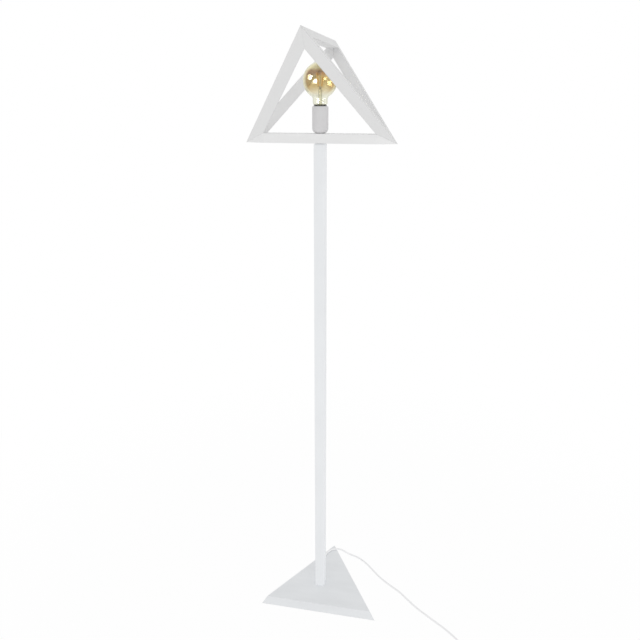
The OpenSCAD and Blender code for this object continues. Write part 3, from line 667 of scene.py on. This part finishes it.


# Blown soda glass with a gold tint baked on, clear towards the neck: honey where one looks through it,
# streaky where the tint ran, darker amber at a slanting look, a brown ring of painted shade below a paler
# crown, a pale rim of painted reflection where the film also mirrors the room a little, and slightly wavy
# from blowing.
def gold_glass():
    material, tree = new_finish("gold_glass")
    place = add_node(tree, "TexCoord").outputs["Object"]
    height = add_node(tree, "SeparateXYZ", None, {"Vector": place}).outputs["Z"]
    # The tint ends over the last 35 mm above the neck
    tint_share = add_node(tree, "MapRange", SOFT_ENDS, {
        "Value": height, "From Min": TINT_HEIGHTS[0], "From Max": TINT_HEIGHTS[1],
    }).outputs["Result"]
    # Runs of the tint are about 18 mm wide and 30 mm long
    run_place = add_node(tree, "Mapping", REAL_SIZE, {
        "Vector": place, "Scale": (18 * MM, 18 * MM, 30 * MM),
    }).outputs["Vector"]
    run = add_node(tree, "TexNoise", None, {
        "Vector": run_place, "Scale": 1.0, "Detail": 2.0,
    }).outputs["Fac"]
    run_share = add_node(tree, "MapRange", None, {
        "Value": run, "From Min": 0.35, "From Max": 0.65,
    }).outputs["Result"]
    gold = add_node(tree, "Mix", OF_COLOURS, {
        SHARE: run_share, COLOUR_A: linear("dac795"), COLOUR_B: linear("e6dab4"),
    }).outputs[MIXED]
    # A slanting look passes through more of the tint, which darkens it; the darker amber towards the rim is
    # also painted shade for the dark crescent that the inner wall's reflection casts there
    graze = add_node(tree, "LayerWeight", None, {"Blend": 0.5}).outputs["Facing"]
    slant_shade_share = add_node(tree, "MapRange", SOFT_ENDS, {
        "Value": graze, "From Min": 0.12, "From Max": 0.4,
    }).outputs["Result"]
    amber = add_node(tree, "Mix", OF_COLOURS, {
        SHARE: slant_shade_share, COLOUR_A: gold, COLOUR_B: linear("cba96a"),
    }).outputs[MIXED]
    # A ring below the crown is painted brown: painted shade that stands in for the shaded rear bar seen
    # through the glass. Above it the crown is lighter again
    shade_ring_share = add_node(tree, "MapRange", SOFT_ENDS, {
        "Value": height, "From Min": SHADE_RING_HEIGHTS[0], "From Max": SHADE_RING_HEIGHTS[1], "To Max": 0.65,
    }).outputs["Result"]
    shade_ringed = add_node(tree, "Mix", OF_COLOURS, {
        SHARE: shade_ring_share, COLOUR_A: amber, COLOUR_B: linear("bb9374"),
    }).outputs[MIXED]
    crown_share = add_node(tree, "MapRange", SOFT_ENDS, {
        "Value": height, "From Min": CROWN_HEIGHTS[0], "From Max": CROWN_HEIGHTS[1],
    }).outputs["Result"]
    crowned = add_node(tree, "Mix", OF_COLOURS, {
        SHARE: crown_share, COLOUR_A: shade_ringed, COLOUR_B: linear("eee6c4"),
    }).outputs[MIXED]
    # Right at the rim the glass is painted pale: a painted reflection of the white room
    edge_share = add_node(tree, "MapRange", SOFT_ENDS, {
        "Value": graze, "From Min": 0.38, "From Max": 0.55,
    }).outputs["Result"]
    tint = add_node(tree, "Mix", OF_COLOURS, {
        SHARE: edge_share, COLOUR_A: crowned, COLOUR_B: linear("f3ecc6"),
    }).outputs[MIXED]
    colour = add_node(tree, "Mix", OF_COLOURS, {
        SHARE: tint_share, COLOUR_A: linear("f8f8ee"), COLOUR_B: tint,
    }).outputs[MIXED]
    # Blown glass waves over about 16 mm
    wave_place = add_node(tree, "Mapping", REAL_SIZE, {
        "Vector": place, "Scale": (16 * MM, 16 * MM, 22 * MM),
    }).outputs["Vector"]
    wave = add_node(tree, "TexNoise", None, {
        "Vector": wave_place, "Scale": 1.0, "Detail": 1.0,
    }).outputs["Fac"]
    waved = add_node(tree, "Bump", None, {
        "Height": wave, "Strength": 0.15, "Distance": 0.3 * MM,
    }).outputs["Normal"]
    glass = add_node(tree, "BsdfPrincipled", None, {
        "Base Color": colour, "Roughness": 0.0, "IOR": 1.5, "Transmission Weight": 1.0, "Normal": waved,
    })
    # The film mirrors a little, and at a grazing look it shows the room instead of the tint
    rim_share = add_node(tree, "MapRange", SOFT_ENDS, {
        "Value": graze, "From Min": 0.4, "From Max": 0.8, "To Min": 0.05, "To Max": 0.6,
    }).outputs["Result"]
    mirror = add_node(tree, "BsdfGlossy", None, {"Color": linear("dddcc8"), "Roughness": 0.0})
    rimmed = add_node(tree, "MixShader", None, {
        SHARE: rim_share, SHADER_A: glass.outputs["BSDF"], SHADER_B: mirror.outputs["BSDF"],
    })
    add_node(tree, "OutputMaterial", None, {"Surface": rimmed.outputs["Shader"]})
    return material


# Drawn lead glass of the stem: a pale olive with faint streaks along it, and dark olive edges where one
# looks along the wall.
def stem_glass():
    material, tree = new_finish("stem_glass")
    place = add_node(tree, "TexCoord").outputs["Object"]
    # Streaks from drawing are 1.5 mm wide and 30 mm long
    streak_place = add_node(tree, "Mapping", REAL_SIZE, {
        "Vector": place, "Scale": (1.5 * MM, 1.5 * MM, 30 * MM),
    }).outputs["Vector"]
    streak = add_node(tree, "TexNoise", None, {
        "Vector": streak_place, "Scale": 1.0, "Detail": 2.0,
    }).outputs["Fac"]
    pale = add_node(tree, "Mix", OF_COLOURS, {
        SHARE: streak, COLOUR_A: linear("dcd9c0"), COLOUR_B: linear("eae8d6"),
    }).outputs[MIXED]
    graze = add_node(tree, "LayerWeight", None, {"Blend": 0.5}).outputs["Facing"]
    edge_share = add_node(tree, "MapRange", SOFT_ENDS, {
        "Value": graze, "From Min": 0.15, "From Max": 0.6,
    }).outputs["Result"]
    colour = add_node(tree, "Mix", OF_COLOURS, {
        SHARE: edge_share, COLOUR_A: pale, COLOUR_B: linear("6f6a3a"),
    }).outputs[MIXED]
    drawn = add_node(tree, "Bump", None, {
        "Height": streak, "Strength": 0.2, "Distance": 0.1 * MM,
    }).outputs["Normal"]
    glass = add_node(tree, "BsdfPrincipled", None, {
        "Base Color": colour, "Roughness": 0.05, "IOR": 1.5, "Transmission Weight": 1.0, "Normal": drawn,
    })
    add_node(tree, "OutputMaterial", None, {"Surface": glass.outputs["BSDF"]})
    return material


# Silicone with yellow phosphor on the light strips: chalky, with the chips under it as faint dots.
def phosphor_silicone():
    material, tree = new_finish("phosphor_silicone")
    place = add_node(tree, "TexCoord").outputs["Object"]
    # The chips sit a little over 1 mm apart
    chip_place = add_node(tree, "Mapping", REAL_SIZE, {
        "Vector": place, "Scale": (1.4 * MM, 1.4 * MM, 1.1 * MM),
    }).outputs["Vector"]
    chip = add_node(tree, "TexNoise", None, {
        "Vector": chip_place, "Scale": 1.0, "Detail": 1.0,
    }).outputs["Fac"]
    share = add_node(tree, "MapRange", None, {"Value": chip, **NOISE_SPAN}).outputs["Result"]
    colour = add_node(tree, "Mix", OF_COLOURS, {
        SHARE: share, COLOUR_A: linear("e5a823"), COLOUR_B: linear("f4c94d"),
    }).outputs[MIXED]
    dotted = add_node(tree, "Bump", None, {
        "Height": chip, "Strength": 0.4, "Distance": 0.1 * MM,
    }).outputs["Normal"]
    silicone = add_node(tree, "BsdfPrincipled", None, {
        "Base Color": colour, "Roughness": 0.7, "Normal": dotted,
    })
    add_node(tree, "OutputMaterial", None, {"Surface": silicone.outputs["BSDF"]})
    return material


# Extruded white PVC sheath: smooth and a little waxy, with the two cores inside showing as a slow twist.
def cord_sheath():
    material, tree = new_finish("cord_sheath")
    place = add_node(tree, "TexCoord").outputs["Object"]
    # The white and the shine vary over about 9 mm
    uneven_place = add_node(tree, "Mapping", REAL_SIZE, {
        "Vector": place, "Scale": (9 * MM, 9 * MM, 9 * MM),
    }).outputs["Vector"]
    uneven = add_node(tree, "TexNoise", None, {
        "Vector": uneven_place, "Scale": 1.0, "Detail": 1.0,
    }).outputs["Fac"]
    # Two cores twisted once every 60 mm: the wave goes twice round for each turn of the UV map
    run = add_node(tree, "UVMap", {"uv_map": "run"}).outputs["UV"]
    twist_place = add_node(tree, "Mapping", None, {
        "Vector": run, "Scale": (CORD_CORES, CORD_CORES / CORE_TWIST, 1.0),
    }).outputs["Vector"]
    turn = add_node(tree, "SeparateXYZ", None, {"Vector": twist_place})
    phase = add_node(tree, "Math", {"operation": "ADD"}, {
        0: turn.outputs["X"], 1: turn.outputs["Y"],
    }).outputs[0]
    angle = add_node(tree, "Math", {"operation": "MULTIPLY"}, {0: phase, 1: 2 * math.pi}).outputs[0]
    twist = add_node(tree, "Math", {"operation": "SINE"}, {0: angle}).outputs[0]
    share = add_node(tree, "MapRange", None, {"Value": uneven, **NOISE_SPAN}).outputs["Result"]
    colour = add_node(tree, "Mix", OF_COLOURS, {
        SHARE: share, COLOUR_A: linear("f8f8f9"), COLOUR_B: linear("fbfbfc"),
    }).outputs[MIXED]
    roughness = add_node(tree, "MapRange", None, {
        "Value": uneven, **NOISE_SPAN, "To Min": 0.3, "To Max": 0.4,
    }).outputs["Result"]
    twisted = add_node(tree, "Bump", None, {
        "Height": twist, "Strength": 0.2, "Distance": 0.1 * MM,
    }).outputs["Normal"]
    sheath = add_node(tree, "BsdfPrincipled", None, {
        "Base Color": colour, "Roughness": roughness, "Normal": twisted,
    })
    add_node(tree, "OutputMaterial", None, {"Surface": sheath.outputs["BSDF"]})
    return material


def give(finish, *names):
    """Gives CAD nodes or pieces one finish."""
    for name in names:
        piece = NODES.get(name) or bpy.data.objects[name]
        piece.data.materials.clear()
        piece.data.materials.append(finish)


def bar_direction(side, front):
    """Direction of a side bar of the frame, from its tip at the side to the point at the front or rear."""
    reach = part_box("bottom_bar")[1].x
    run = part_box("top_bar")[1].y
    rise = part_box("top_bar")[1].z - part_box("bottom_bar")[0].z
    return Vector((-side * reach, -front * run, rise)).normalized()


def dress():
    """Every node and piece gets its finish."""
    give(painted_wood("painted_foot", (1, 0, 0), FOOT_SHADED_PAINT), "base_block")
    give(painted_wood("painted_post", (0, 0, 1), POST_PAINT), "post")
    give(painted_wood("painted_bottom_bar", (1, 0, 0), BOTTOM_BAR_LIT_PAINT), "bottom_bar")
    give(painted_wood("painted_top_bar", (0, 1, 0), FRAME_SHADED_PAINT), "top_bar")
    for end, front in (("front", 1), ("rear", -1)):
        for hand, side in (("left", -1), ("right", 1)):
            bar = f"{end}_{hand}_bar"
            give(painted_wood(f"painted_{bar}", bar_direction(side, front), FRAME_SHADED_PAINT), bar)
    give(bare_beech(), "post_dowels", "frame_dowels")
    give(charcoal_felt(), "base_felt")
    give(turned_metal("zinc_plated_steel", ("9a9ca0", "b4b6ba"), (0.3, 0.45)),
         "ballast_disc", "post_bolt", "cup_washer", "terminal_screws", "switch_screws", "button_spring")
    give(turned_metal("turned_brass", ("b08a3e", "cda65a"), (0.25, 0.4)),
         "foot_insert", "top_insert", "threaded_tube", "cup_nut", "screw_shell", "centre_contact",
         "plug_pins")
    give(turned_metal("nickelled_aluminium", ("b9b8b3", "cfcec9"), (0.15, 0.3)), "bulb_cap", "bulb_contact")
    give(turned_metal("oxidised_wire", ("4a462e", "655f40"), (0.4, 0.55)), "bulb_wires")
    give(powder_coat(), "socket_cup")
    give(moulded_plastic("black_phenolic", ("0c0c0d", "141415"), 0.35, 0.03 * MM),
         "socket_body", "bulb_insulator")
    give(moulded_plastic("white_abs", ("ececea", "f1f1ef"), 0.38, 0.04 * MM),
         "cord_grommet", "plug_body", "switch_base", "switch_cover",
         "outlet_sleeve", "switch_sleeve", "lead_sleeve", "plug_sleeve")
    give(moulded_plastic("grey_abs", ("d6d6d4", "dededc"), 0.45, 0.05 * MM), "switch_button")
    give(moulded_plastic("dark_nylon", ("2c2c30", "36363a"), 0.5, 0.05 * MM), "switch_block")
    give(cord_sheath(), "inner_cable", "floor_cord", "plug_cord")
    give(gold_glass(), "bulb_globe")
    give(stem_glass(), "bulb_stem")
    give(phosphor_silicone(), "bulb_filaments")


# Room, floor and lamps


def seen_share(tree):
    """1 for a ray that the camera sees, straight, mirrored or through glass, and 0 for one that lights."""
    path = add_node(tree, "LightPath")
    seen = path.outputs["Is Camera Ray"]
    for ray in ("Is Glossy Ray", "Is Transmission Ray"):
        seen = add_node(tree, "Math", {"operation": "MAXIMUM"}, {0: seen, 1: path.outputs[ray]}).outputs[0]
    return seen


def make_world():
    """A white room: full white where it is seen, mirrored or seen through, a little less as light."""
    world = bpy.data.worlds.new("white_room")
    world.use_nodes = True
    tree = world.node_tree
    tree.nodes.clear()
    strength = add_node(tree, "MapRange", None, {
        "Value": seen_share(tree), "To Min": ROOM_LIGHT, "To Max": 1.0,
    }).outputs["Result"]
    room = add_node(tree, "Background", None, {"Color": WHITE, "Strength": strength})
    add_node(tree, "OutputWorld", None, {"Surface": room.outputs["Background"]})
    bpy.context.scene.world = world


def make_floor():
    """A white floor that keeps a faint shadow round the lamp and fades into the white of the room."""
    angle = np.arange(FLOOR_SIDES) * 2 * math.pi / FLOOR_SIDES
    rim = FLOOR_RADIUS * np.stack([np.cos(angle), np.sin(angle), 0 * angle], axis=1)
    data = bpy.data.meshes.new("floor")
    data.from_pydata(rim.tolist(), [], [list(range(FLOOR_SIDES))])
    floor = bpy.data.objects.new("floor", data)
    bpy.context.scene.collection.objects.link(floor)
    material, tree = new_finish("white_floor")
    place = add_node(tree, "TexCoord").outputs["Object"]
    reach = add_node(tree, "VectorMath", {"operation": "LENGTH"}, {0: place}).outputs["Value"]
    far = add_node(tree, "MapRange", SOFT_ENDS, {
        "Value": reach, "From Min": FLOOR_FADE[0], "From Max": FLOOR_FADE[1],
        "To Min": FLOOR_WHITE, "To Max": 1.0,
    }).outputs["Result"]
    share = add_node(tree, "Math", {"operation": "MULTIPLY"}, {0: far, 1: seen_share(tree)}).outputs[0]
    paint = add_node(tree, "BsdfDiffuse", None, {"Color": linear(FLOOR_PAINT)})
    white = add_node(tree, "Emission", None, {"Color": WHITE, "Strength": 1.0})
    mixed = add_node(tree, "MixShader", None, {
        SHARE: share, SHADER_A: paint.outputs["BSDF"], SHADER_B: white.outputs["Emission"],
    })
    add_node(tree, "OutputMaterial", None, {"Surface": mixed.outputs["Shader"]})
    data.materials.append(material)


def add_lamp(name, direction, distance, aim, size, power, mirrors=None):
    """A square soft lamp that shines at its aim from a direction, at a distance.

    A plain lamp gives matt surfaces their light, without shadows or shine. One with mirrors, a collection
    of pieces, shows as a bright square on those pieces and lights nothing else.
    """
    data = bpy.data.lights.new(name, "AREA")
    data.shape = "SQUARE"
    data.size = size
    data.energy = power
    lamp = bpy.data.objects.new(name, data)
    bpy.context.scene.collection.objects.link(lamp)
    turn, rise = (math.radians(a) for a in direction)
    out = Vector((math.sin(turn) * math.cos(rise), -math.cos(turn) * math.cos(rise), math.sin(rise)))
    place = Matrix.Translation(Vector(aim) + out * distance)
    lamp.matrix_world = place @ out.to_track_quat("Z", "Y").to_matrix().to_4x4()
    lamp.visible_camera = False
    lamp.visible_diffuse = mirrors is None
    lamp.visible_transmission = False
    lamp.visible_glossy = mirrors is not None
    data.use_shadow = mirrors is not None
    lamp.light_linking.receiver_collection = mirrors


def make_lamps(globe):
    """Two soft lamps set the wood's faces apart, and two softboxes show only in the bulb and its stem."""
    add_lamp("right_light", RIGHT_LAMP, LAMP_DISTANCE, LAMP_MIDDLE, LAMP_SIZE, RIGHT_LIGHT)
    add_lamp("left_light", LEFT_LAMP, LAMP_DISTANCE, LAMP_MIDDLE, LAMP_SIZE, LEFT_LIGHT)
    bulb_glass = bpy.data.collections.new("bulb_glass")
    bulb_glass.objects.link(globe)
    bulb_glass.objects.link(NODES["bulb_stem"])
    for name, direction in (("left_softbox", LEFT_SOFTBOX), ("front_softbox", FRONT_SOFTBOX)):
        add_lamp(name, direction, SOFTBOX_DISTANCE, BULB_MIDDLE, SOFTBOX_SIZE, SOFTBOX_LIGHT, bulb_glass)


make_camera()
make_cords()
bulb_globe = make_globe()
dress()
make_world()
make_floor()
make_lamps(bulb_globe)

bpy.context.scene.view_settings.view_transform = "Standard"
